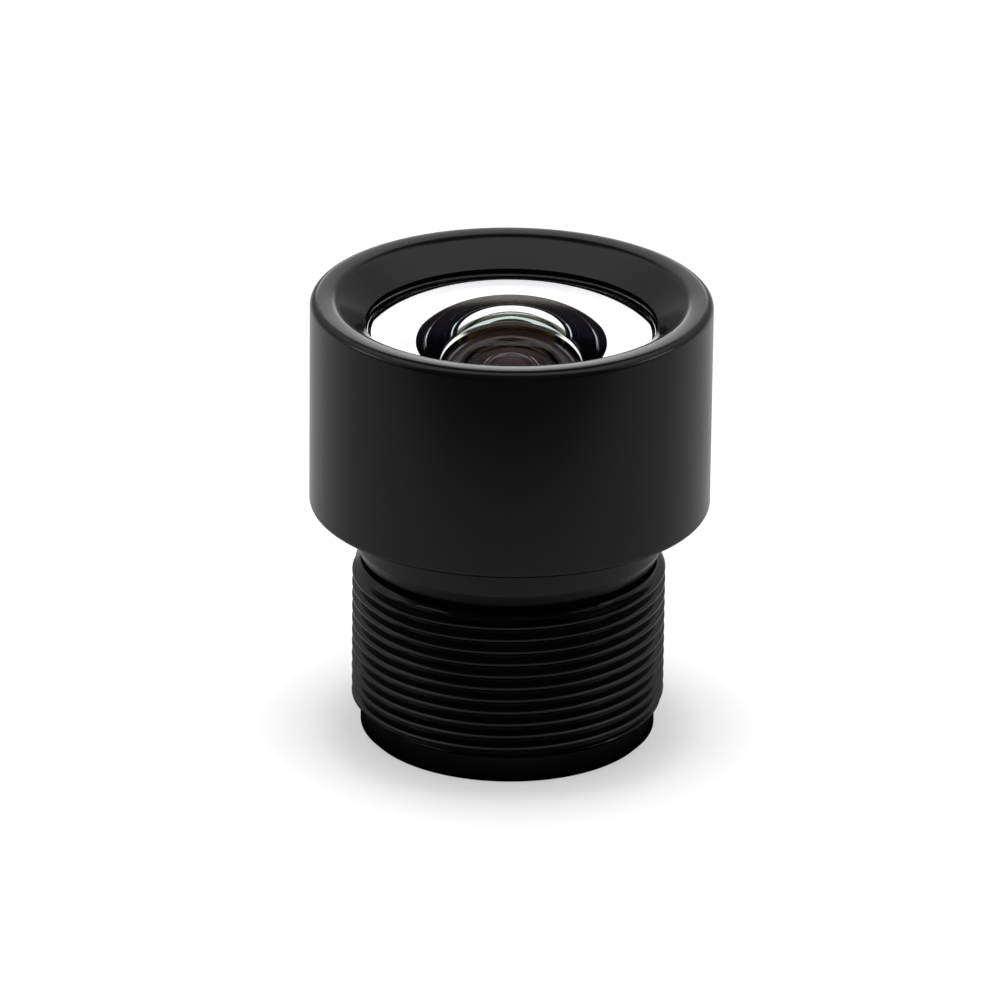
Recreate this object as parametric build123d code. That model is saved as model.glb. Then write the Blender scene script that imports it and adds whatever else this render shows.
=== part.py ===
from build123d import *
import os

# M12 board lens, millimetres. Z is the optical axis and points to the front glass.
# The origin is the centre of the rear face, which the lens stands on.

# Mounting thread and the turned outside of the barrel, from the rear face up.
thread_diameter = 12.0
pilot_length = 1.08
pilot_step = 0.35
pilot_chamfer = 0.24
thread_length = 5.97
relief_width = 0.32
relief_depth = 0.42
taper_length = 0.50
taper_depth = 0.20
neck_length = 1.46
neck_undercut = 0.08
neck_step = 0.17

# Front cap, which screws onto the nose of the barrel and clamps the front glass.
head_wall = 1.85
rim_width = 0.97
rim_fall = 0.05
rim_inner_round = 0.60
rim_outer_round = 0.30
skirt_round = 0.20
recess_depth = 1.00
lip_height = 0.41
lip_overlap = 0.20
skirt_overlap = 0.90
cap_thread_play = 0.05
skirt_play = 0.04
cap_end_play = 0.06

# Front glass: a deep meniscus with a hollow back and a flat rear annulus.
front_glass_edge = 2.13
front_glass_bevel = 0.30
front_glass_rim = 0.10
front_glass_bulge = 1.04
hollow_land = 2.57
hollow_depth = 2.07
glass_play = 0.05
washer_thickness = 0.15

# Rubber ring round the edge of the front glass, in a groove of the cap's bore.
seal_cord = 0.50
seal_play = 0.01

# Barrel bore and the front shoulder that the inner lens stack is pushed against.
barrel_wall = 1.08
shoulder_ledge = 0.60
shoulder_height = 1.22
stack_play = 0.05
nose_chamfer = 0.15

# Inner elements: edge height, then land width and cap height of each face.
# A positive cap height bulges out of the glass and a negative one hollows it.
lens_bevel = 0.12
second_edge, second_front_land, second_front_cap = 1.45, 0.60, 0.98
second_rear_land, second_rear_cap = 2.25, -1.21
third_edge, third_land, third_cap = 1.30, 1.15, 0.76
fourth_edge, fourth_front_land, fourth_front_cap = 0.80, 1.15, 0.63
cement_cap = 1.46
fifth_edge, fifth_rear_land, fifth_rear_cap = 2.50, 1.25, -0.53
sixth_edge, sixth_land, sixth_cap = 1.00, 1.15, 0.71

# Spacers, masks and stop between the elements.
first_spacer_height = 0.70
second_spacer_height = 0.90
third_spacer_height = 0.80
fourth_spacer_height = 0.60
spacer_wall = 1.00
mask_thickness = 0.10
front_mask_width = 1.95
rear_mask_width = 1.10
stop_thickness = 0.10
stop_opening = 2.0

# Rear retainer, screwed into the barrel, and the filter bonded into its back.
rear_recess = 0.35
retainer_height = 2.15
retainer_thread_step = 0.25
retainer_thread_length = 1.50
retainer_play = 0.03
retainer_inset = 1.10
retainer_run_out = 0.15
filter_thickness = 0.30
filter_recess_depth = 0.50
filter_rim = 0.75
filter_play = 0.05
bond_width = 0.16
bond_play = 0.01
notch_count = 2
notch_width = 0.90
notch_depth = 0.45

# Radii that follow from the sizes above.
thread_radius = thread_diameter / 2
pilot_radius = thread_radius - pilot_step
relief_radius = thread_radius - relief_depth
neck_radius = thread_radius - neck_undercut
taper_radius = neck_radius - taper_depth
nose_radius = neck_radius - neck_step
skirt_bore = neck_radius + skirt_play
cap_bore = nose_radius + cap_thread_play
head_radius = cap_bore + head_wall
glass_radius = cap_bore - glass_play
lip_radius = glass_radius - lip_overlap
groove_width = seal_cord + 2 * seal_play
groove_radius = glass_radius + groove_width
bore_radius = relief_radius - barrel_wall
opening_radius = bore_radius - shoulder_ledge
stack_radius = bore_radius - stack_play
retainer_radius = bore_radius + retainer_thread_step
filter_pocket = retainer_radius - filter_rim
filter_radius = filter_pocket - filter_play
retainer_bore = stack_radius - retainer_inset

# Heights of the inner stack, from the retainer up to the front shoulder.
stack = {
    "rear_retainer": retainer_height,
    "sixth_element": sixth_edge,
    "fourth_spacer": fourth_spacer_height,
    "rear_mask": mask_thickness,
    "fifth_element": fifth_edge,
    "fourth_element": fourth_edge,
    "third_spacer": third_spacer_height,
    "aperture_stop": stop_thickness,
    "second_spacer": second_spacer_height,
    "third_element": third_edge,
    "first_spacer": first_spacer_height,
    "front_mask": mask_thickness,
    "second_element": second_edge,
}
seat = {}
level = rear_recess
for name, height in stack.items():
    seat[name] = level
    level += height
shoulder_z = level
barrel_length = shoulder_z + shoulder_height

# Heights of the outside and of the front glass.
thread_top = pilot_length + thread_length
relief_top = thread_top + relief_width
taper_top = relief_top + taper_length
cap_bottom = taper_top + neck_length
nose_z = cap_bottom + skirt_overlap
glass_rear = barrel_length + washer_thickness
glass_front = glass_rear + front_glass_edge
groove_base = glass_rear + (front_glass_edge - groove_width) / 2
lip_bottom = glass_front - front_glass_bevel + lip_overlap
recess_floor = lip_bottom + lip_height
rim_z = recess_floor + recess_depth
retainer_thread_top = rear_recess + retainer_thread_length


def turned(*outline):
    """Revolve a closed outline of (radius, height) corners about the optical axis."""
    with BuildPart() as body:
        with BuildSketch(Plane.XZ):
            with BuildLine():
                Polyline(*outline, close=True)
            make_face()
        revolve(axis=Axis.Z)
    return body.part


def ring(inner, outer, base, height):
    """A plain turned ring."""
    top = base + height
    return turned((inner, base), (outer, base), (outer, top), (inner, top))


def rim_edge(body, radius, height):
    """The circular edge of a turned body at one radius and height."""
    def fits(edge):
        return abs(edge.radius - radius) < 1e-4 and abs(edge.center().Z - height) < 1e-4

    return body.edges().filter_by(GeomType.CIRCLE).filter_by(fits)


def lens(base, edge, radius, front, rear, front_bevel=lens_bevel, rear_bevel=lens_bevel):
    """A glass disc with flat lands and a spherical cap on each face.

    front and rear are (land width, cap height) pairs; the edge corners are bevelled.
    """
    top = base + edge
    front_clear = radius - front[0]
    rear_clear = radius - rear[0]
    corners = [
        (front_clear, top),
        (radius - front_bevel, top),
        (radius, top - front_bevel),
        (radius, base + rear_bevel),
        (radius - rear_bevel, base),
        (rear_clear, base),
    ]
    front_pole = (0, top + front[1])
    rear_pole = (0, base - rear[1])
    with BuildPart() as glass:
        with BuildSketch(Plane.XZ):
            with BuildLine():
                Line(rear_pole, front_pole)
                TangentArc(front_pole, corners[0], tangent=(1, 0))
                Polyline(*dict.fromkeys(corners))
                TangentArc(rear_pole, corners[-1], tangent=(1, 0))
            make_face()
        revolve(axis=Axis.Z)
    return glass.part


def make_barrel():
    """Turned barrel: pilot, thread land, relief, tapered neck, nose and the stepped bore."""
    pocket_radius = retainer_radius + retainer_play
    pocket_top = retainer_thread_top + retainer_run_out
    return turned(
        (pocket_radius, 0),
        (pilot_radius - pilot_chamfer, 0),
        (pilot_radius, pilot_chamfer),
        (pilot_radius, pilot_length),
        (thread_radius, pilot_length + pilot_step),
        (thread_radius, thread_top - relief_depth),
        (relief_radius, thread_top),
        (relief_radius, relief_top),
        (taper_radius, relief_top),
        (neck_radius, taper_top),
        (neck_radius, nose_z),
        (nose_radius, nose_z),
        (nose_radius, barrel_length - nose_chamfer),
        (nose_radius - nose_chamfer, barrel_length),
        (opening_radius, barrel_length),
        (opening_radius, shoulder_z),
        (bore_radius, shoulder_z),
        (bore_radius, pocket_top),
        (pocket_radius, pocket_top),
    )


def make_front_cap():
    """Turned cap with a dished front, a lip over the glass, a seal groove and a skirt."""
    step_z = nose_z + cap_end_play
    rim_inner = head_radius - rim_width
    rim_inner_z = rim_z - rim_fall
    body = turned(
        (skirt_bore, cap_bottom),
        (head_radius, cap_bottom),
        (head_radius, rim_z),
        (rim_inner, rim_inner_z),
        (lip_radius, recess_floor),
        (lip_radius, lip_bottom),
        (cap_bore, lip_bottom - lip_overlap - glass_play),
        (cap_bore, groove_base + groove_width),
        (groove_radius, groove_base + groove_width),
        (groove_radius, groove_base),
        (cap_bore, groove_base),
        (cap_bore, step_z),
        (skirt_bore, step_z),
    )
    body = fillet(rim_edge(body, head_radius, rim_z), rim_outer_round)
    body = fillet(rim_edge(body, rim_inner, rim_inner_z), rim_inner_round)
    return fillet(rim_edge(body, head_radius, cap_bottom), skirt_round)


def make_front_element():
    """Front meniscus, bevelled at the front where the cap's lip clamps it."""
    return lens(
        glass_rear, front_glass_edge, glass_radius,
        (front_glass_bevel + front_glass_rim, front_glass_bulge),
        (hollow_land, -hollow_depth),
        front_bevel=front_glass_bevel,
    )


def make_seal_ring():
    """Rubber ring that fills the cap's groove round the edge of the front glass."""
    middle = groove_width / 2
    return Pos(0, 0, groove_base + middle) * Torus(glass_radius + middle, seal_cord / 2)


def make_rear_retainer():
    """Threaded ring with a nose, a rear pocket for the filter and spanner notches."""
    base = seat["rear_retainer"]
    body = turned(
        (filter_pocket, base),
        (retainer_radius, base),
        (retainer_radius, retainer_thread_top),
        (stack_radius, retainer_thread_top),
        (stack_radius, base + retainer_height),
        (retainer_bore, base + retainer_height),
        (retainer_bore, base + filter_recess_depth),
        (filter_pocket, base + filter_recess_depth),
    )
    notch = Box(2 * filter_rim, notch_width, 2 * notch_depth)
    for place in PolarLocations(retainer_radius - filter_rim / 2, notch_count):
        body -= Pos(0, 0, base) * place * notch
    return body


def make_filter_bond(filter_rear):
    """Adhesive bead between the back of the filter and the wall of its pocket."""
    wall = filter_pocket - bond_play
    return turned((wall - bond_width, filter_rear), (wall, filter_rear), (wall, filter_rear - bond_width))


def spacer(name):
    """A spacer ring of the inner stack."""
    return ring(stack_radius - spacer_wall, stack_radius, seat[name], stack[name])


filter_rear = seat["rear_retainer"] + filter_recess_depth - filter_thickness
cement = (0, cement_cap)

nodes = {
    "barrel": make_barrel(),
    "front_cap": make_front_cap(),
    "front_element": make_front_element(),
    "seal_ring": make_seal_ring(),
    "seat_washer": ring(opening_radius, nose_radius, barrel_length, washer_thickness),
    "second_element": lens(
        seat["second_element"], second_edge, stack_radius,
        (second_front_land, second_front_cap), (second_rear_land, second_rear_cap),
    ),
    "front_mask": ring(
        stack_radius - front_mask_width, stack_radius, seat["front_mask"], mask_thickness
    ),
    "first_spacer": spacer("first_spacer"),
    "third_element": lens(
        seat["third_element"], third_edge, stack_radius,
        (third_land, third_cap), (third_land, third_cap),
    ),
    "second_spacer": spacer("second_spacer"),
    "aperture_stop": ring(stop_opening / 2, stack_radius, seat["aperture_stop"], stop_thickness),
    "third_spacer": spacer("third_spacer"),
    "fourth_element": lens(
        seat["fourth_element"], fourth_edge, stack_radius,
        (fourth_front_land, fourth_front_cap), cement, rear_bevel=0,
    ),
    "fifth_element": lens(
        seat["fifth_element"], fifth_edge, stack_radius,
        (0, -cement_cap), (fifth_rear_land, fifth_rear_cap), front_bevel=0,
    ),
    "rear_mask": ring(
        stack_radius - rear_mask_width, stack_radius, seat["rear_mask"], mask_thickness
    ),
    "fourth_spacer": spacer("fourth_spacer"),
    "sixth_element": lens(
        seat["sixth_element"], sixth_edge, stack_radius,
        (sixth_land, sixth_cap), (sixth_land, sixth_cap),
    ),
    "rear_retainer": make_rear_retainer(),
    "ir_cut_filter": Pos(0, 0, filter_rear) * Cylinder(
        filter_radius, filter_thickness, align=(Align.CENTER, Align.CENTER, Align.MIN)
    ),
    "filter_bond": make_filter_bond(filter_rear),
}

os.makedirs("parts", exist_ok=True)
for name, solid in nodes.items():
    export_step(solid, f"parts/{name}.step")
print(f"overall length {rim_z:.3f}, barrel {barrel_length:.3f}, cap bottom {cap_bottom:.3f}")
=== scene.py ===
"""Looks of an M12 board lens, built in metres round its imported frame.

The lens stands on its rear face and its optical axis is Z. Every piece is a body of
revolution, so each one is turned from a half outline of radii and heights. The places
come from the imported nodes, and the sizes of edges, faces and threads from the fields of
the classes below.
"""
import logging
import math
from dataclasses import dataclass
from enum import Enum
from typing import Any, Sequence

import bmesh
import bpy
from mathutils import Matrix, Vector


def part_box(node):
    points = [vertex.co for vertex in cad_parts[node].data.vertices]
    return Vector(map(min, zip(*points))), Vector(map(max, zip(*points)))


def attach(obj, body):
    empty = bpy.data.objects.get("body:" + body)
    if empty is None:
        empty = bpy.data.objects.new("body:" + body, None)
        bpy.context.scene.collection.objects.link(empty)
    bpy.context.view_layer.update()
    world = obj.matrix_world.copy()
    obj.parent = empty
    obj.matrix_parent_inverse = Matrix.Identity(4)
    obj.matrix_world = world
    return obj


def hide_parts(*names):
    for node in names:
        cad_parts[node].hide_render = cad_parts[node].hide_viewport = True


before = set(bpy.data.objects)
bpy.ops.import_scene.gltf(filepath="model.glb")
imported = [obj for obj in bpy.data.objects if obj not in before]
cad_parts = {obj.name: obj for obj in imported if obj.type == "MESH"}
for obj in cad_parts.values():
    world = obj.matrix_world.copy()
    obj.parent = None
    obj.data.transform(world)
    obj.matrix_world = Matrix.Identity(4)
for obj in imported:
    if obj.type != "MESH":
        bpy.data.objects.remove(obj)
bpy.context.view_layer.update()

MM = 0.001
FULL_TURN = 2 * math.pi
BODY = "root"
WHITE = (1.0, 1.0, 1.0, 1.0)
BLACK = (0.0, 0.0, 0.0, 1.0)
LOG = logging.getLogger("board_lens")

Point = tuple[float, float]
Fade = tuple[float, float]
Stops = tuple[tuple[float, float], ...]


class Ends(Enum):
    """How the half outline of a turned piece ends."""

    CLOSED = "a ring with its own inside wall"
    ON_AXIS = "a solid that reaches the optical axis"


class Wire:
    """A shader socket that can be used in Python arithmetic."""

    def __init__(self, shader: "Shader", socket: bpy.types.NodeSocket) -> None:
        """Wrap one output socket of a shader's node."""
        self.shader = shader
        self.socket = socket

    def _math(self, operation: str, first: Any, second: Any) -> "Wire":
        """Add one Math node and return its result."""
        return self.shader.add("ShaderNodeMath", {"operation": operation}, {0: first, 1: second})

    def __add__(self, other: Any) -> "Wire":
        """Return self + other."""
        return self._math("ADD", self, other)

    __radd__ = __add__

    def __mul__(self, other: Any) -> "Wire":
        """Return self * other."""
        return self._math("MULTIPLY", self, other)

    __rmul__ = __mul__

    def __sub__(self, other: Any) -> "Wire":
        """Return self - other."""
        return self._math("SUBTRACT", self, other)

    def __rsub__(self, other: Any) -> "Wire":
        """Return other - self."""
        return self._math("SUBTRACT", other, self)

    def __truediv__(self, other: Any) -> "Wire":
        """Return self / other."""
        return self._math("DIVIDE", self, other)

    def __rtruediv__(self, other: Any) -> "Wire":
        """Return other / self."""
        return self._math("DIVIDE", other, self)

    def clamped(self, low: float, high: float) -> "Wire":
        """Return the value ramped from 0 at low to 1 at high, with soft ends."""
        settings = {"interpolation_type": "SMOOTHSTEP"}
        values = {"Value": self, "From Min": low, "From Max": high}
        return self.shader.add("ShaderNodeMapRange", settings, values)


class Shader:
    """The node tree of one material or world, with short ways to add nodes."""

    def __init__(self, owner: Any) -> None:
        """Empty the owner's node tree and keep it.

        Args:
            owner: the material or world whose nodes are made.
        """
        owner.use_nodes = True
        self.tree = owner.node_tree
        self.tree.nodes.clear()

    def add(self, kind: str, settings: dict[str, Any] | None = None,
            values: dict[Any, Any] | None = None, output: Any = 0) -> Wire:
        """Add a node of any type.

        Args:
            kind: the node's type name.
            settings: attributes set first; "stops" holds a ramp's pairs of place and grey.
            values: socket names or numbers, with the value or the Wire that each one takes.
            output: the output socket that is returned.

        Returns:
            The chosen output, ready for arithmetic.
        """
        node = self.tree.nodes.new(kind)
        for name, value in (settings or {}).items():
            if name == "stops":
                self._set_stops(node.color_ramp, value)
            else:
                setattr(node, name, value)
        for key, value in (values or {}).items():
            if isinstance(value, Wire):
                self.tree.links.new(value.socket, node.inputs[key])
            else:
                node.inputs[key].default_value = value
        found = node.outputs[output] if node.outputs else None
        return Wire(self, found)

    @staticmethod
    def _set_stops(ramp: bpy.types.ColorRamp, stops: Stops) -> None:
        """Give a colour ramp its stops, each a place and a grey."""
        while len(ramp.elements) < len(stops):
            ramp.elements.new(1.0)
        for element, (place, level) in zip(ramp.elements, stops):
            element.position = place
            element.color = grey(level)

    def ramp(self, along: Wire, stops: Stops) -> Wire:
        """Return the grey that a row of stops has at a value from 0 to 1."""
        return self.add("ShaderNodeValToRGB", {"stops": stops}, {0: along})

    def mix(self, factor: Any, first: Any, second: Any) -> Wire:
        """Mix two colours by a factor."""
        values = {0: factor, 6: first, 7: second}
        return self.add("ShaderNodeMix", {"data_type": "RGBA"}, values, output=2)

    def less(self, first: Any, second: Any) -> Wire:
        """Return 1 where the first value is the smaller one, and 0 elsewhere."""
        return self.add("ShaderNodeMath", {"operation": "LESS_THAN"}, {0: first, 1: second})

    def size(self, value: Wire) -> Wire:
        """Return a value without its sign."""
        return self.add("ShaderNodeMath", {"operation": "ABSOLUTE"}, {0: value})

    def blend(self, factor: Any, first: Wire, second: Wire) -> Wire:
        """Mix two surfaces by a factor."""
        return self.add("ShaderNodeMixShader", values={0: factor, 1: first, 2: second})

    def glow(self, colour: Any, strength: Any = 1.0) -> Wire:
        """Return an emitting surface."""
        return self.add("ShaderNodeEmission", values={"Color": colour, "Strength": strength})

    def rays(self) -> tuple[Wire, Wire, Wire]:
        """Return what tells camera rays, mirrored rays and rays through glass from the rest."""
        path = self.add("ShaderNodeLightPath").socket.node
        names = ("Is Camera Ray", "Is Glossy Ray", "Is Transmission Ray")
        return tuple(Wire(self, path.outputs[name]) for name in names)

    def place(self) -> Wire:
        """Return the point on the object, in the lens's own frame."""
        return self.add("ShaderNodeTexCoord", output="Object")

    def parts(self, vector: Wire) -> tuple[Wire, Wire, Wire]:
        """Split a vector into x, y and z."""
        node = self.add("ShaderNodeSeparateXYZ", values={0: vector}).socket.node
        return tuple(Wire(self, socket) for socket in node.outputs)

    def radius(self, vector: Wire) -> Wire:
        """Return the distance of a point from the optical axis."""
        flat = self.add("ShaderNodeVectorMath", {"operation": "MULTIPLY"}, {0: vector, 1: (1, 1, 0)})
        return self.add("ShaderNodeVectorMath", {"operation": "LENGTH"}, {0: flat}, output="Value")

    def noise(self, scale: float, detail: float, vector: Wire) -> Wire:
        """Return 3-D noise from 0 to 1."""
        values = {"Vector": vector, "Scale": scale, "Detail": detail}
        return self.add("ShaderNodeTexNoise", values=values)

    def lines(self, along: Wire, detail: float) -> Wire:
        """Return noise that varies along one value only, as turning marks do."""
        values = {"W": along, "Scale": 1.0, "Detail": detail, "Roughness": 0.6}
        return self.add("ShaderNodeTexNoise", {"noise_dimensions": "1D"}, values)

    def bump(self, height: Wire, distance: float) -> Wire:
        """Return a normal bent by a height from 0 to 1 of the given distance in metres."""
        return self.add("ShaderNodeBump", values={"Height": height, "Distance": distance})

    def finish(self, surface: Wire, output: str = "ShaderNodeOutputMaterial") -> None:
        """Link the surface or background to the tree's output."""
        self.add(output, values={0: surface})


def principled(shader: Shader, values: dict[str, Any]) -> Wire:
    """Add a Principled BSDF with the given socket values."""
    return shader.add("ShaderNodeBsdfPrincipled", values=values)


def grey(level: float) -> tuple[float, float, float, float]:
    """Return an opaque grey."""
    return (level, level, level, 1.0)


@dataclass(frozen=True)
class BlackAnodised:
    """Turned aluminium with a black anodic film: fine circular marks under a soft gloss.

    Inside cut_radius, from cut_low to cut_high, the film is cut away to bright metal that also glows,
    a painted highlight; the bright metal and its glow fade out from cut_near to cut_far along Y,
    so the highlight is painted on one side only. Inside shade_radius, from shade_low to
    shade_high, the film is dead black with no reflection at all, a painted shade for a recess.
    """

    name: str
    tone: float = 0.0016
    roughness: float = 0.18
    mark_pitch: float = 0.045 * MM
    mark_depth: float = 0.0006 * MM
    grain: float = 0.10 * MM
    # the bright cut: its glow and its fade along Y are a painted highlight
    cut_radius: float = 0.0
    cut_low: float = 0.0
    cut_high: float = 0.0
    cut_near: float = 0.0
    cut_far: float = 1.0
    # a band of painted shade: black film with no reflection at all
    shade_radius: float = 0.0
    shade_low: float = 0.0
    shade_high: float = 0.0
    cut_level: float = 0.92
    cut_painted_glow: float = 0.80
    cloud_size: float = 3.2 * MM
    wear_tint: tuple[float, float, float] = (1.5, 1.45, 1.5)
    unevenness: float = 0.05
    mark_share: float = 0.75

    def material(self) -> bpy.types.Material:
        """Return the finish as a material."""
        made = bpy.data.materials.new(self.name)
        shader = Shader(made)
        place = shader.place()
        radius = shader.radius(place)
        _, depth, height = shader.parts(place)
        along = (radius + height) / self.mark_pitch
        marks = shader.lines(along, 2.0)
        cloud = shader.noise(1 / self.cloud_size, 3.0, place)
        grain = shader.noise(1 / self.grain, 2.0, place)
        wear = cloud.clamped(0.35, 0.75)
        worn = tuple(self.tone * share for share in self.wear_tint)
        colour = shader.mix(wear, grey(self.tone), (*worn, 1.0))
        rough = self.roughness + self.unevenness * (wear - 0.5) + self.unevenness * (marks - 0.5)
        relief = self.mark_share * marks + (1 - self.mark_share) * grain
        # painted highlight: the bright cut glows, and it fades out along Y so it shows on one side only
        cut = shader.less(radius, self.cut_radius) * shader.less(self.cut_low, height) \
            * shader.less(height, self.cut_high) * (1 - depth.clamped(self.cut_near, self.cut_far))
        surface = principled(shader, {
            "Base Color": shader.mix(cut, colour, grey(self.cut_level)),
            "Roughness": rough,
            "IOR": 1.5,
            # the glow of the bright cut is a painted highlight
            "Emission Color": shader.mix(cut, BLACK, WHITE),
            "Emission Strength": self.cut_painted_glow,
            "Normal": shader.bump(relief, self.mark_depth),
        })
        # painted shade: inside this band the film is black with no reflection at all, dark as a recess in
        # shade
        matt = shader.less(radius, self.shade_radius) * shader.less(self.shade_low, height) \
            * shader.less(height, self.shade_high)
        shade_black = principled(shader, {"Base Color": grey(self.tone), "Roughness": 1.0, "IOR": 1.0})
        shader.finish(shader.blend(matt, surface, shade_black))
        return made


@dataclass(frozen=True)
class CoatedGlass:
    """Polished optical glass with an anti-reflection coating, a film that is film_depth nm thick."""

    name: str
    index: float = 1.60
    tint: tuple[float, float, float] = (1.0, 1.0, 1.0)
    coating: tuple[float, float, float] = (0.10, 0.12, 0.11)
    film_index: float = 1.25
    film_depth: float = 0.0
    dust_size: float = 1.5 * MM
    dust_roughness: float = 0.004

    def clear(self, shader: Shader) -> Wire:
        """Return the clear glass surface."""
        dust = shader.noise(1 / self.dust_size, 4.0, shader.place()).clamped(0.62, 0.9)
        return principled(shader, {
            "Base Color": (*self.tint, 1.0),
            "Roughness": self.dust_roughness * dust,
            "IOR": self.index,
            "Transmission Weight": 1.0,
            "Specular Tint": (*self.coating, 1.0),
            "Thin Film IOR": self.film_index,
            "Thin Film Thickness": self.film_depth,
        })

    def material(self) -> bpy.types.Material:
        """Return the finish as a material."""
        made = bpy.data.materials.new(self.name)
        shader = Shader(made)
        shader.finish(self.clear(shader))
        return made


@dataclass(frozen=True)
class SilveredGlass(CoatedGlass):
    """Coated glass with a blackened edge, whose flat back annulus is silvered over white paint.

    The white paint glows: painted light that stands for the light that needs more bounces than a render
    follows. The flare is a painted glow on the far wall of the hollow back, on the +Y side only,
    standing for the light that this wall sends through the glass.
    """

    back_height: float = 14.24 * MM
    glow: float = 0.90
    silver: tuple[float, float, float] = (0.97, 0.97, 0.97)
    silver_roughness: float = 0.12
    paint_inner: float = 0.70
    paint_outer: float = 1.00
    paint_from: float = 3.60 * MM
    paint_to: float = 5.40 * MM
    gloss_index: float = 1.25
    edge_radius: float = 5.47 * MM
    edge_low: float = 14.36 * MM
    edge_black: float = 0.004
    back_radius: float = 5.15 * MM
    back_soft: float = 0.05 * MM
    # the band of the hollow back that carries a painted glow, on the +Y side only
    flare_low: float = 14.25 * MM
    flare_high: float = 16.10 * MM
    flare_radius: float = 2.42 * MM
    flare_taper: float = 0.26
    flare_near: float = 0.60 * MM
    flare_far: float = 2.88 * MM
    flare: tuple[float, float, float] = (0.66, 0.78, 0.75)

    def material(self) -> bpy.types.Material:
        """Return the finish as a material."""
        made = bpy.data.materials.new(self.name)
        shader = Shader(made)
        place = shader.place()
        radius = shader.radius(place)
        across, depth, height = shader.parts(place)
        back = shader.less(height, self.back_height)
        edge = shader.less(self.edge_radius, radius) * shader.less(self.edge_low, height)
        rim = radius.clamped(self.back_radius - self.back_soft, self.back_radius + self.back_soft)
        # painted flare: this patch of the hollow back, on the +Y side only, glows as painted light
        hollow = shader.less(self.flare_radius, radius - self.flare_taper * shader.size(across)) \
            * shader.less(self.flare_low, height) * shader.less(height, self.flare_high) \
            * shader.less(self.flare_near, depth) * shader.less(depth, self.flare_far)
        mirror = principled(shader, {
            "Base Color": (*self.silver, 1.0),
            "Metallic": 1.0,
            "Roughness": self.silver_roughness,
        })
        # painted light: the white paint glows, a little brighter outward
        outward = radius.clamped(self.paint_from, self.paint_to)
        paint = principled(shader, {
            "Base Color": WHITE,
            "Roughness": 1.0,
            "IOR": 1.0,
            "Emission Color": shader.mix(outward, grey(self.glow), WHITE),
            "Emission Strength": 1.0,
        })
        gloss = shader.add("ShaderNodeFresnel", values={"IOR": self.gloss_index})
        share = self.paint_inner + (self.paint_outer - self.paint_inner) * outward
        backing = shader.blend(share * (1 - gloss), mirror, paint)
        inward = shader.add("ShaderNodeFresnel", values={"IOR": self.index})
        # the painted glow of the flare
        flare = shader.glow((*self.flare, 1.0))
        black = principled(shader, {"Base Color": grey(self.edge_black), "Roughness": 0.5, "IOR": 1.0})
        surface = shader.blend(hollow * (1 - inward), self.clear(shader), flare)
        surface = shader.blend(back, surface, backing)
        shader.finish(shader.blend(edge + back * rim, surface, black))
        return made


@dataclass(frozen=True)
class Plain:
    """A matt finish with a fine grain, for the small inner pieces."""

    name: str
    colour: tuple[float, float, float]
    roughness: float
    grain: float = 0.06 * MM
    depth: float = 0.002 * MM
    shade: float = 0.8
    unevenness: float = 0.1

    def material(self) -> bpy.types.Material:
        """Return the finish as a material."""
        made = bpy.data.materials.new(self.name)
        shader = Shader(made)
        grain = shader.noise(1 / self.grain, 3.0, shader.place())
        dark = tuple(self.shade * level for level in self.colour)
        surface = principled(shader, {
            "Base Color": shader.mix(grain, (*dark, 1.0), (*self.colour, 1.0)),
            "Roughness": self.roughness + self.unevenness * (grain - 0.5),
            "Normal": shader.bump(grain, self.depth),
        })
        shader.finish(surface)
        return made


@dataclass(frozen=True)
class Corner:
    """A corner of a half outline: radius, height, and the round that breaks it."""

    r: float
    z: float
    round: float = 0.0


def softened(corners: Sequence[Corner], ends: Ends, steps: int = 5) -> list[Point]:
    """Replace each rounded corner by a short arc.

    Args:
        corners: the outline in order.
        ends: whether the last corner joins the first one.
        steps: how many spans an arc has.

    Returns:
        The outline as points of radius and height.
    """
    points: list[Point] = []
    count = len(corners)
    for i, corner in enumerate(corners):
        at_end = ends is Ends.ON_AXIS and i in (0, count - 1)
        if corner.round <= 0 or at_end:
            points.append((corner.r, corner.z))
            continue
        here = Vector((corner.r, corner.z))
        before = Vector((corners[i - 1].r, corners[i - 1].z)) - here
        after = Vector((corners[(i + 1) % count].r, corners[(i + 1) % count].z)) - here
        half = before.angle(after) / 2
        reach = min(corner.round / math.tan(half), 0.49 * before.length, 0.49 * after.length)
        size = reach * math.tan(half)
        middle = here + (before.normalized() + after.normalized()).normalized() * size / math.sin(half)
        start = here + before.normalized() * reach - middle
        finish = here + after.normalized() * reach - middle
        swing = start.angle_signed(finish)
        for step in range(steps + 1):
            turn = Matrix.Rotation(-swing * step / steps, 2)
            points.append(tuple(middle + turn @ start))
    return points


def dome(pole_z: float, rim_r: float, rim_z: float, steps: int) -> list[Point]:
    """Return a spherical cap's meridian from the axis to its rim.

    Args:
        pole_z: height of the cap on the axis.
        rim_r: radius of the cap's rim.
        rim_z: height of the rim.
        steps: how many spans the meridian has.

    Returns:
        Points of radius and height, the first on the axis.
    """
    sag = pole_z - rim_z
    radius = (rim_r ** 2 + sag ** 2) / (2 * sag)
    centre = pole_z - radius
    swing = math.atan2(rim_r, (rim_z - centre) * math.copysign(1, sag))
    angles = [swing * step / steps for step in range(steps + 1)]
    return [(abs(radius) * math.sin(a), centre + radius * math.cos(a)) for a in angles]


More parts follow.
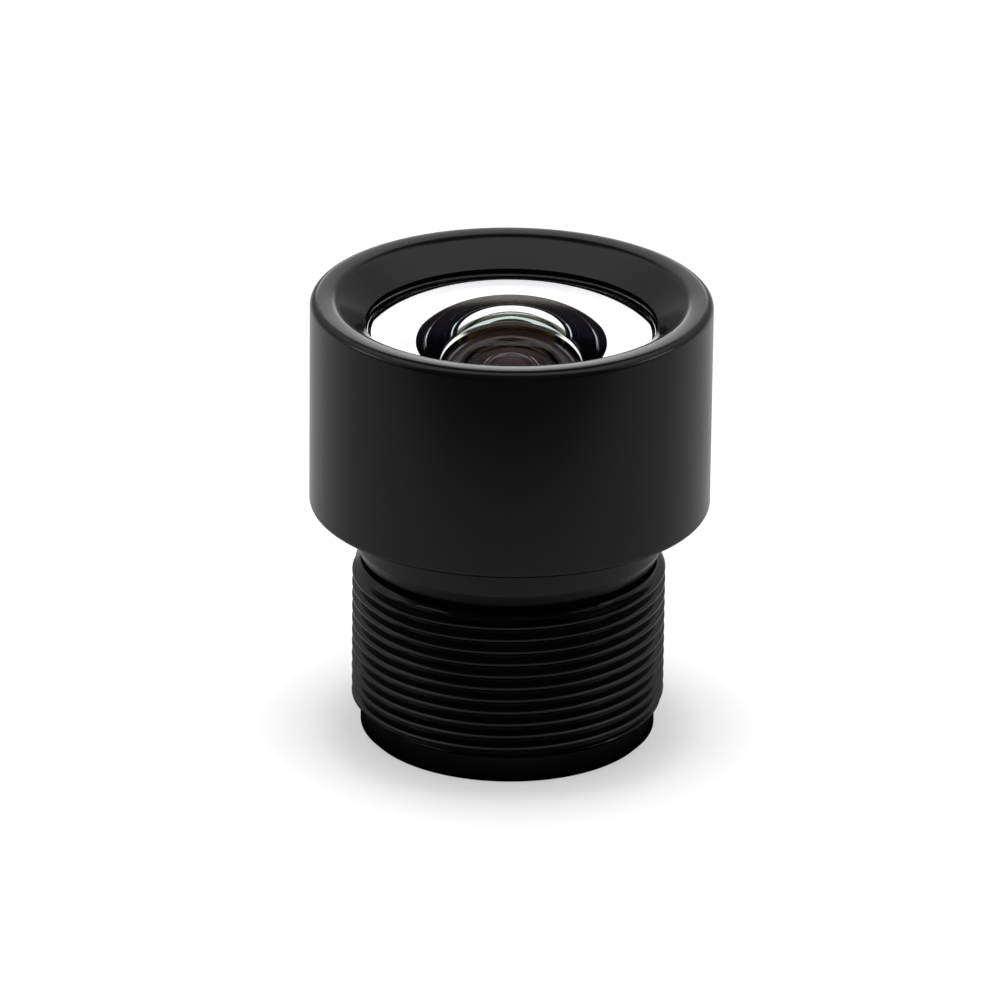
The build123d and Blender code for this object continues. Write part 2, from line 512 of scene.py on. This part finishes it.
def finished_mesh(name: str, verts: list[tuple[float, float, float]], faces: list[tuple[int, ...]],
                  crease: float = math.radians(28)) -> bpy.types.Object:
    """Weld, orient and shade a mesh and link it to the scene.

    Args:
        name: the piece's name.
        verts: its vertices, in metres.
        faces: its faces as vertex numbers.
        crease: the angle from which an edge stays sharp.

    Returns:
        The new object, at the origin.
    """
    mesh = bpy.data.meshes.new(name)
    mesh.from_pydata(verts, [], faces)
    work = bmesh.new()
    work.from_mesh(mesh)
    bmesh.ops.remove_doubles(work, verts=work.verts, dist=1e-8)
    bmesh.ops.dissolve_degenerate(work, edges=work.edges, dist=1e-9)
    bmesh.ops.recalc_face_normals(work, faces=work.faces)
    for face in work.faces:
        face.smooth = True
    for edge in work.edges:
        edge.smooth = len(edge.link_faces) == 2 and edge.calc_face_angle() < crease
    work.to_mesh(mesh)
    work.free()
    piece = bpy.data.objects.new(name, mesh)
    bpy.context.scene.collection.objects.link(piece)
    return piece


def turned(name: str, points: Sequence[Point], ends: Ends, columns: int = 192) -> bpy.types.Object:
    """Turn a half outline about the optical axis.

    Args:
        name: the piece's name.
        points: the outline's radii and heights.
        ends: whether the outline closes on itself or ends on the axis.
        columns: how many spans go round the axis.

    Returns:
        The turned piece.
    """
    verts, faces = [], []
    rows = len(points)
    for column in range(columns):
        angle = FULL_TURN * column / columns
        verts += [(r * math.cos(angle), r * math.sin(angle), z) for r, z in points]
    last = rows if ends is Ends.CLOSED else rows - 1
    for column in range(columns):
        here, there = column * rows, (column + 1) % columns * rows
        for row in range(last):
            up = (row + 1) % rows
            faces.append((here + row, there + row, there + up, here + up))
    return finished_mesh(name, verts, faces)


def dressed(piece: bpy.types.Object, finish: Any, node: str) -> bpy.types.Object:
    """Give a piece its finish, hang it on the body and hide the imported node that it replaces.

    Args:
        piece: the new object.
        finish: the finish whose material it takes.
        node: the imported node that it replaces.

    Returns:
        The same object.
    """
    piece.data.materials.append(finish.material())
    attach(piece, BODY)
    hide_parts(node)
    LOG.info("built %s for node %s with %d faces", piece.name, node, len(piece.data.polygons))
    return piece


def span(node: str) -> tuple[float, float, float]:
    """Return a node's outer radius and its lowest and highest place."""
    low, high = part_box(node)
    return high.x, low.z, high.z


@dataclass
class Barrel:
    """The turned barrel: pilot, helical thread, relief, neck, nose and stepped bore."""

    pilot_length: float = 1.08 * MM
    pilot_step: float = 0.35 * MM
    pilot_chamfer: float = 0.24 * MM
    thread_length: float = 5.97 * MM
    thread_pitch: float = 0.50 * MM
    thread_depth: float = 0.31 * MM
    thread_start: float = 0.14 * MM
    thread_crest: float = 0.13
    thread_root: float = 0.90
    thread_rounding: float = 0.06
    relief_width: float = 0.32 * MM
    relief_depth: float = 0.42 * MM
    taper_length: float = 0.50 * MM
    taper_depth: float = 0.20 * MM
    neck_length: float = 1.46 * MM
    neck_undercut: float = 0.08 * MM
    neck_step: float = 0.17 * MM
    skirt_overlap: float = 0.90 * MM
    shoulder_ledge: float = 0.60 * MM
    shoulder_height: float = 1.22 * MM
    step_depth: float = 0.45 * MM
    step_width: float = 0.30 * MM
    # where the painted glow of the bright cut fades out along Y
    cut_near: float = 2.20 * MM
    cut_far: float = 3.00 * MM
    wall: float = 1.08 * MM
    pocket_radius: float = 4.78 * MM
    pocket_top: float = 2.00 * MM
    pocket_split: float = 1.00 * MM
    edge_break: float = 0.03 * MM
    columns: int = 240
    samples: int = 14

    def thread_drop(self, place: float) -> float:
        """Return how far the thread lies under its crest.

        Args:
            place: the place along the thread, in turns.

        Returns:
            The drop in metres: a 60 degree V with a narrow crest and a rounded root.
        """
        off = abs(place - round(place)) * 2
        share = (off - self.thread_crest) / (self.thread_root - self.thread_crest)
        share = min(max(share, 0.0), 1.0)
        return self.thread_depth * (share - self.thread_rounding * math.sin(FULL_TURN * share))

    def thread_rows(self, turn: float, radius: float) -> list[Point]:
        """Return the thread's outline at one angle, from the pilot up to the relief.

        Args:
            turn: the angle round the axis, in turns.
            radius: the thread's major radius.

        Returns:
            Points of radius and height.
        """
        low = self.pilot_length
        high = low + self.thread_length
        turns = int(self.thread_length / self.thread_pitch) + 2
        points = []
        for row in range(-self.samples, turns * self.samples):
            share = row / self.samples
            z = min(max(low + self.thread_start + (share + turn) * self.thread_pitch, low), high)
            lead_in = radius - self.pilot_step + (z - low)
            run_out = radius - self.thread_depth + (high - z)
            points.append((min(radius - self.thread_drop(share), lead_in, run_out), z))
        return points

    def build(self) -> bpy.types.Object:
        """Build the barrel as one mesh, thread and bore together."""
        radius, base, top = span("barrel")
        pilot = radius - self.pilot_step
        root = radius - self.thread_depth
        groove = radius - self.relief_depth
        neck = radius - self.neck_undercut
        nose = neck - self.neck_step
        bore = groove - self.wall
        opening = bore - self.shoulder_ledge
        thread_top = self.pilot_length + self.thread_length
        relief_top = thread_top + self.relief_width
        taper_top = relief_top + self.taper_length
        step = taper_top + self.neck_length + self.skirt_overlap
        shoulder = top - self.shoulder_height
        soft = self.edge_break
        below = softened([
            Corner(self.pocket_radius, base + self.pocket_split),
            Corner(self.pocket_radius, base, soft),
            Corner(pilot - self.pilot_chamfer, base, soft),
            Corner(pilot, base + self.pilot_chamfer, soft),
            Corner(pilot, self.pilot_length),
        ], Ends.ON_AXIS)
        above = softened([
            Corner(root, thread_top),
            Corner(groove, thread_top + root - groove, soft),
            Corner(groove, relief_top, soft),
            Corner(neck - self.taper_depth, relief_top, soft),
            Corner(neck, taper_top, 2 * soft),
            Corner(neck, step, soft),
            Corner(nose, step, soft),
            Corner(nose, top, 5 * soft),
            Corner(opening + self.step_width, top, soft),
            Corner(opening + self.step_width, top - self.step_depth),
            Corner(opening, top - self.step_depth - self.step_width),
            Corner(opening, shoulder, soft),
            Corner(bore, shoulder, soft),
            Corner(bore, self.pocket_top, soft),
            Corner(self.pocket_radius, self.pocket_top, soft),
            Corner(self.pocket_radius, base + self.pocket_split),
        ], Ends.ON_AXIS)
        verts, faces = [], []
        rows = 0
        for column in range(self.columns + 1):
            turn = column / self.columns
            angle = FULL_TURN * turn
            outline = below + self.thread_rows(turn, radius) + above
            rows = len(outline)
            verts += [(r * math.cos(angle), r * math.sin(angle), z) for r, z in outline]
        for column in range(self.columns):
            here, there = column * rows, (column + 1) * rows
            faces += [(here + r, there + r, there + r + 1, here + r + 1) for r in range(rows - 1)]
        return finished_mesh("barrel_turned", verts, faces)

    def dress(self) -> None:
        """Build the barrel and give it its black film, cut bright on the chamfer in its opening with a
        painted glow that fades out towards +Y, and with a painted shade, a band without reflection, in the
        relief groove.
        """
        radius, _, top = span("barrel")
        opening = radius - self.relief_depth - self.wall - self.shoulder_ledge
        high = top - self.step_depth
        groove = self.pilot_length + self.thread_length
        # painted highlight on the bright cut, painted shade in the relief groove
        film = BlackAnodised("barrel_anodised", cut_radius=opening + 1.1 * self.step_width,
                             cut_low=high - self.step_width, cut_high=high, cut_near=self.cut_near,
                             cut_far=self.cut_far, shade_radius=radius, shade_low=groove,
                             shade_high=groove + 1.1 * self.relief_width)
        dressed(self.build(), film, "barrel")


@dataclass
class FrontCap:
    """The wide head: dished front, lip over the glass, bore with a seal groove, and skirt."""

    height: float = 8.33 * MM
    wall: float = 1.85 * MM
    rim_width: float = 0.97 * MM
    rim_fall: float = 0.05 * MM
    rim_inner_round: float = 0.60 * MM
    rim_outer_round: float = 0.30 * MM
    recess_depth: float = 1.00 * MM
    lip_width: float = 0.25 * MM
    lip_height: float = 0.41 * MM
    groove_depth: float = 0.47 * MM
    groove_air: float = 0.01 * MM
    skirt_depth: float = 0.96 * MM
    skirt_step: float = 0.16 * MM
    skirt_round: float = 0.20 * MM
    edge_break: float = 0.05 * MM

    def dress(self) -> None:
        """Build the cap and give it its black film, with a painted shade, a band without reflection, on
        the upper half of the lip's inner wall.
        """
        radius, base, _ = span("front_cap")
        _, seal_low, seal_high = span("seal_ring")
        rim = base + self.height
        floor = rim - self.recess_depth
        bore = radius - self.wall
        skirt, step = bore + self.skirt_step, base + self.skirt_depth
        groove_low, groove_high = seal_low - self.groove_air, seal_high + self.groove_air
        soft = self.edge_break
        corners = [
            Corner(skirt, base, soft),
            Corner(radius, base, self.skirt_round),
            Corner(radius, rim, self.rim_outer_round),
            Corner(radius - self.rim_width, rim - self.rim_fall, self.rim_inner_round),
            Corner(bore - self.lip_width, floor, soft / 2),
            Corner(bore - self.lip_width, floor - self.lip_height, soft / 4),
            Corner(bore, floor - self.lip_height - self.lip_width),
            Corner(bore, groove_high),
            Corner(bore + self.groove_depth, groove_high),
            Corner(bore + self.groove_depth, groove_low),
            Corner(bore, groove_low),
            Corner(bore, step, soft / 2),
            Corner(skirt, step, soft / 2),
        ]
        piece = turned("front_cap_turned", softened(corners, Ends.CLOSED, 8), Ends.CLOSED, 256)
        # painted shade: the upper half of the lip's inner wall is black with no reflection
        film = BlackAnodised("cap_anodised", shade_radius=bore, shade_low=floor - 0.5 * self.lip_height,
                             shade_high=floor)
        dressed(piece, film, "front_cap")


@dataclass
class Element:
    """A glass element with flat lands and a spherical cap on each face.

    A positive cap height bulges out of the glass and a negative one hollows it.
    """

    node: str
    front_land: float
    front_cap: float
    rear_land: float
    rear_cap: float
    finish: CoatedGlass
    slot: str = "optical_glass"
    front_bevel: float = 0.12 * MM
    rear_bevel: float = 0.12 * MM
    air: float = 0.003 * MM
    steps: int = 40

    def dress(self) -> None:
        """Build the element and give it its glass."""
        radius, low, high = span(self.node)
        base = low + max(self.rear_cap, 0) + self.air
        top = high - max(self.front_cap, 0) - self.air
        front_clear = radius - self.front_land
        rear_clear = radius - self.rear_land
        front = dome(top + self.front_cap, front_clear, top, self.steps)
        rear = dome(base - self.rear_cap, rear_clear, base, self.steps)
        edge = [
            (radius - self.front_bevel, top),
            (radius, top - self.front_bevel),
            (radius, base + self.rear_bevel),
            (radius - self.rear_bevel, base),
        ]
        points = list(dict.fromkeys(front + edge + rear[::-1]))
        piece = turned(self.node + "_glass", points, Ends.ON_AXIS)
        dressed(piece, self.finish, self.node)


@dataclass
class Band:
    """A plain turned ring, such as a spacer, a mask or a washer."""

    node: str
    width: float
    finish: Any
    slot: str
    air: float = 0.003 * MM
    edge_break: float = 0.02 * MM

    def dress(self) -> None:
        """Build the ring and give it its finish."""
        radius, base, top = span(self.node)
        base, top = base + self.air, top - self.air
        inner = radius - self.width
        soft = min(self.edge_break, 0.3 * (top - base))
        corners = [Corner(r, z, soft) for r, z in
                   ((inner, base), (radius, base), (radius, top), (inner, top))]
        piece = turned(self.node + "_ring", softened(corners, Ends.CLOSED, 3), Ends.CLOSED, 160)
        dressed(piece, self.finish, self.node)


@dataclass
class FrontOptics:
    """The front glass with the bright washer it sits on and its seal."""

    washer_width: float = 1.85 * MM
    glass_index: float = 1.56
    glass_coating: tuple[float, float, float] = (0.56, 0.71, 0.68)
    glass_film: float = 150.0
    glass_land: float = 0.40 * MM
    glass_bulge: float = 1.04 * MM
    glass_bevel: float = 0.30 * MM
    hollow_land: float = 2.57 * MM
    hollow_depth: float = 2.07 * MM
    seal_steps: int = 24

    def dress(self) -> None:
        """Build the three pieces."""
        glass = SilveredGlass("front_coated_glass", index=self.glass_index, coating=self.glass_coating,
                              film_depth=self.glass_film)
        Element("front_element", self.glass_land, self.glass_bulge, self.hollow_land, -self.hollow_depth,
                glass, slot="front_glass", front_bevel=self.glass_bevel, steps=72).dress()
        bright = Plain("bright_washer", (0.96, 0.96, 0.96), 0.6, depth=0.0005 * MM)
        Band("seat_washer", self.washer_width, bright, "bright_aluminium").dress()
        self.seal()

    def seal(self) -> None:
        """Build the seal ring as a torus."""
        outer, low, high = span("seal_ring")
        cord = (high - low) / 2
        centre, middle = outer - cord, (high + low) / 2
        turns = [FULL_TURN * step / self.seal_steps for step in range(self.seal_steps)]
        points = [(centre + cord * math.cos(turn), middle + cord * math.sin(turn)) for turn in turns]
        piece = turned("seal_ring_cord", points, Ends.CLOSED, 160)
        rubber = Plain("seal_rubber", (0.018, 0.018, 0.018), 0.6)
        dressed(piece, rubber, "seal_ring")


@dataclass
class LensStack:
    """The inner elements with their spacers, masks and stop."""

    spacer_width: float = 1.00 * MM
    front_mask_width: float = 1.95 * MM
    rear_mask_width: float = 1.10 * MM
    stop_width: float = 3.45 * MM
    land: float = 1.15 * MM
    second_front: Point = (0.60 * MM, 0.98 * MM)
    second_rear: Point = (2.25 * MM, -1.21 * MM)
    third_cap: float = 0.76 * MM
    fourth_cap: float = 0.63 * MM
    cement_cap: float = 1.46 * MM
    fifth_rear: Point = (1.25 * MM, -0.53 * MM)
    sixth_cap: float = 0.71 * MM
    glass_coating: tuple[float, float, float] = (0.18, 0.09, 0.13)

    def dress(self) -> None:
        """Build every piece between the front shoulder and the retainer."""
        clear = CoatedGlass("inner_glass", coating=self.glass_coating)
        land, third, sixth = self.land, self.third_cap, self.sixth_cap
        elements = [
            Element("second_element", *self.second_front, *self.second_rear, clear),
            Element("third_element", land, third, land, third, clear),
            Element("fourth_element", land, self.fourth_cap, 0.0, self.cement_cap, clear, rear_bevel=0.0),
            Element("fifth_element", 0.0, -self.cement_cap, *self.fifth_rear, clear, front_bevel=0.0),
            Element("sixth_element", land, sixth, land, sixth, clear),
        ]
        film = Plain("black_film", (0.010, 0.010, 0.010), 0.75)
        black = Plain("spacer_black", (0.012, 0.012, 0.012), 0.6)
        bands = [Band(name + "_spacer", self.spacer_width, black, "black_spacer")
                 for name in ("first", "second", "third", "fourth")]
        bands += [
            Band("front_mask", self.front_mask_width, film, "black_film"),
            Band("rear_mask", self.rear_mask_width, film, "black_film"),
            Band("aperture_stop", self.stop_width, film, "black_film"),
        ]
        for piece in elements + bands:
            piece.dress()


@dataclass
class RearGroup:
    """The retainer ring with its spanner notches, the filter and its bond."""

    thread_step: float = 0.25 * MM
    thread_length: float = 1.50 * MM
    bore_inset: float = 1.10 * MM
    filter_recess: float = 0.50 * MM
    filter_rim: float = 0.75 * MM
    filter_bevel: float = 0.05 * MM
    bead_hollow: float = 0.4
    bead_steps: int = 8
    notch_count: int = 2
    notch_width: float = 0.90 * MM
    notch_depth: float = 0.45 * MM
    edge_break: float = 0.04 * MM
    columns: int = 176

    def outline(self, cut: float) -> list[Point]:
        """Return the retainer's half outline.

        Args:
            cut: how far its rear rim is cut back, in metres.

        Returns:
            Points of radius and height.
        """
        radius, base, top = span("rear_retainer")
        nose = radius - self.thread_step
        pocket = radius - self.filter_rim
        bore = nose - self.bore_inset
        soft = self.edge_break
        return softened([
            Corner(pocket, base + cut, soft),
            Corner(radius, base + cut, soft),
            Corner(radius, base + self.thread_length, soft),
            Corner(nose, base + self.thread_length, soft),
            Corner(nose, top, soft),
            Corner(bore, top, soft),
            Corner(bore, base + self.filter_recess, soft),
            Corner(pocket, base + self.filter_recess, soft / 2),
        ], Ends.CLOSED, 3)

    def retainer(self) -> bpy.types.Object:
        """Build the retainer ring with a notch on each side of its rear rim."""
        radius, _, _ = span("rear_retainer")
        half = math.asin(self.notch_width / 2 / (radius - self.filter_rim / 2)) / FULL_TURN
        whole, notched = self.outline(0.0), self.outline(self.notch_depth)
        rounds = [(index / self.columns, whole) for index in range(self.columns)]
        places = [index / self.notch_count for index in range(self.notch_count)]
        for place in places:
            rounds = [(turn, rows) for turn, rows in rounds
                      if abs((turn - place + 0.5) % 1 - 0.5) > 1.01 * half]
            rounds += [(place - half, whole), (place - half + 1e-9, notched), (place - half / 2, notched),
                       (place, notched), (place + half / 2, notched), (place + half - 1e-9, notched),
                       (place + half, whole)]
        rounds.sort(key=lambda pair: pair[0])
        verts, faces = [], []
        rows = len(whole)
        for turn, outline in rounds:
            angle = FULL_TURN * turn
            verts += [(r * math.cos(angle), r * math.sin(angle), z) for r, z in outline]
        for column in range(len(rounds)):
            here, there = column * rows, (column + 1) % len(rounds) * rows
            for row in range(rows):
                up = (row + 1) % rows
                faces.append((here + row, there + row, there + up, here + up))
        return finished_mesh("rear_retainer_ring", verts, faces)

    def filter(self) -> bpy.types.Object:
        """Build the filter disc with a fine bevel on both faces."""
        radius, low, high = span("ir_cut_filter")
        bevel = self.filter_bevel
        points = [(0.0, low), (radius - bevel, low), (radius, low + bevel), (radius, high - bevel),
                  (radius - bevel, high), (0.0, high)]
        return turned("ir_cut_filter_disc", points, Ends.ON_AXIS, 128)

    def bond(self) -> bpy.types.Object:
        """Build the adhesive bead, a hollow fillet between the filter and its pocket."""
        wall, low, high = span("filter_bond")
        width = high - low
        hollow = []
        for step in range(self.bead_steps + 1):
            turn = math.pi / 2 * step / self.bead_steps
            reach = width * (1 - self.bead_hollow * math.sin(2 * turn))
            hollow.append((wall - reach * math.sin(turn) ** 2, high - reach * math.cos(turn) ** 2))
        return turned("filter_bond_bead", [(wall, high), *hollow], Ends.CLOSED, 128)

    def dress(self) -> None:
        """Build the three pieces and give them their finishes."""
        matt = Plain("retainer_black", (0.010, 0.010, 0.010), 0.45)
        dressed(self.retainer(), matt, "rear_retainer")
        glass = CoatedGlass("filter_glass", index=1.52, tint=(0.72, 0.94, 0.92), coating=(0.9, 0.25, 0.45))
        dressed(self.filter(), glass, "ir_cut_filter")
        bead = Plain("bond_black", (0.012, 0.012, 0.012), 0.3)
        dressed(self.bond(), bead, "filter_bond")


@dataclass
class Studio:
    """The floor, the sky, the lamp and the camera.

    The sky has two rows of greys by height: the facing one straight ahead, behind and at the
    sides, and the between one across the corners.
    """

    floor_size: float = 6.0
    floor_drop: float = 0.02 * MM
    floor_level: float = 0.50
    # the floor as the metal sees it: a painted gradient along Y and a painted shadow round the base
    floor_span: Fade = (-75 * MM, 45 * MM)
    floor_shadow_fade: Fade = (5.6 * MM, 15 * MM)
    floor_stops: Stops = ((0.0, 0.03), (0.225, 0.10), (0.29, 0.17), (0.375, 0.28),
                          (0.46, 0.33), (0.625, 0.38), (0.79, 0.48), (1.0, 0.60))
    target_height: float = 9.0 * MM
    elevation: float = math.radians(22.877)
    distance: float = 0.351
    focal_length: float = 330.80
    sensor: float = 36.0
    roll: float = math.radians(0.664)
    shift: tuple[float, float] = (-0.00949, 0.00849)
    sky_light: float = 0.45
    sky_gain: float = 1.7
    far_dark: float = 0.02
    facing: Stops = ((0.0, 0.0), (0.16, 0.0), (0.21, 1.0), (0.29, 1.0), (0.33, 0.45),
                     (0.37, 0.15), (0.42, 0.14), (0.50, 0.15), (0.77, 0.26), (0.85, 0.30))
    between: Stops = ((0.0, 0.11), (0.30, 0.11), (0.56, 0.15), (0.79, 0.28), (1.0, 0.30))
    corner_fade: Fade = (0.08, 0.26)
    lane_fade: Fade = (0.25, 0.50)
    back_fade: Fade = (0.05, 0.25)
    back_rise: Fade = (0.56, 0.64)
    front_fade: Fade = (0.30, 0.60)
    horizon_rise: Fade = (0.22, 0.34)
    lamp_height: float = 0.40
    lamp_size: float = 0.14
    lamp_power: float = 1.35

    def floor(self) -> None:
        """Build the pale floor: white to the camera; to the metal a glow with a painted gradient, dark in
        front and lighter behind, and a painted shadow round the base.
        """
        half = self.floor_size / 2
        corners = [(x, y, -self.floor_drop) for x, y in
                   ((-half, -half), (half, -half), (half, half), (-half, half))]
        piece = finished_mesh("floor", corners, [(0, 1, 2, 3)])
        made = bpy.data.materials.new("floor_white")
        shader = Shader(made)
        camera, glossy, through = shader.rays()
        place = shader.place()
        depth = shader.parts(place)[1]
        # painted light: to mirrored rays the floor glows darker in front and lighter behind
        share = shader.add("ShaderNodeMapRange", values={
            "Value": depth, "From Min": self.floor_span[0], "From Max": self.floor_span[1]})
        mirrored_floor_light = shader.ramp(share, self.floor_stops)
        # painted shadow: the mirrored floor fades to dark round the base
        painted_contact_shadow = shader.radius(place).clamped(*self.floor_shadow_fade)
        lit = shader.add("ShaderNodeBsdfDiffuse", values={"Color": grey(self.floor_level)})
        lift = shader.glow(WHITE, 1 - self.floor_level)
        shown = shader.add("ShaderNodeAddShader", values={0: lit, 1: lift})
        surface = shader.blend(camera, lit, shown)
        surface = shader.blend(glossy, surface, shader.glow(mirrored_floor_light, painted_contact_shadow))
        shader.finish(shader.blend(through, surface, shader.glow(WHITE)))
        piece.data.materials.append(made)

    def sky(self) -> None:
        """Make the surroundings: plain white to the camera and the glass, banded to the metal."""
        world = bpy.data.worlds.new("studio_sky")
        bpy.context.scene.world = world
        shader = Shader(world)
        camera, glossy, through = shader.rays()
        east, north, height = shader.parts(shader.add("ShaderNodeTexCoord", output="Generated"))
        panel = 1 - shader.size(east * north).clamped(*self.corner_fade)
        lane = 1 - shader.size(east).clamped(*self.lane_fade)
        behind = lane * north.clamped(*self.back_fade) * height.clamped(*self.back_rise)
        before = (-1 * north).clamped(*self.front_fade)
        banded = shader.mix(panel, shader.ramp(height, self.between), shader.ramp(height, self.facing))
        banded = shader.mix(before + (1 - before) * behind, banded, grey(self.far_dark))
        above = camera + through * height.clamped(*self.horizon_rise)
        plain = shader.mix(above, shader.mix(through, grey(self.sky_light), grey(self.far_dark)), WHITE)
        mirrored = glossy * (1 - through)
        values = {"Color": shader.mix(mirrored, plain, banded), "Strength": 1.0 + self.sky_gain * mirrored}
        shader.finish(shader.add("ShaderNodeBackground", values=values), "ShaderNodeOutputWorld")

    def lamp(self) -> None:
        """Hang one soft square lamp over the lens."""
        data = bpy.data.lights.new("overhead_softbox", "AREA")
        data.shape = "SQUARE"
        data.size = self.lamp_size
        data.energy = self.lamp_power
        lamp = bpy.data.objects.new("overhead_softbox", data)
        lamp.visible_glossy = False
        lamp.visible_transmission = False
        lamp.visible_camera = False
        place = Vector((0, 0, self.lamp_height))
        lamp.location = place
        aim = Vector((0, 0, self.target_height)) - place
        lamp.rotation_euler = aim.to_track_quat("-Z", "Y").to_euler()
        bpy.context.scene.collection.objects.link(lamp)

    def camera(self) -> None:
        """Place the camera at the photograph's angle and framing."""
        data = bpy.data.cameras.new("camera")
        data.lens = self.focal_length
        data.sensor_width = self.sensor
        data.shift_x, data.shift_y = self.shift
        data.clip_start = 0.01
        camera = bpy.data.objects.new("camera", data)
        out = Vector((0, -math.cos(self.elevation), math.sin(self.elevation)))
        camera.location = Vector((0, 0, self.target_height)) + out * self.distance
        turn = out.to_track_quat("Z", "Y").to_matrix() @ Matrix.Rotation(self.roll, 3, "Z")
        camera.rotation_euler = turn.to_euler()
        bpy.context.scene.collection.objects.link(camera)
        bpy.context.scene.camera = camera

    def build(self) -> None:
        """Build the whole studio."""
        self.camera()
        self.floor()
        self.sky()
        self.lamp()
        bpy.context.scene.view_settings.view_transform = "Standard"


def main() -> None:
    """Build the lens and its studio."""
    logging.basicConfig(level=logging.INFO, format="%(message)s")
    Studio().build()
    for group in (Barrel(), FrontCap(), FrontOptics(), LensStack(), RearGroup()):
        group.dress()


if __name__ == "__main__":
    main()
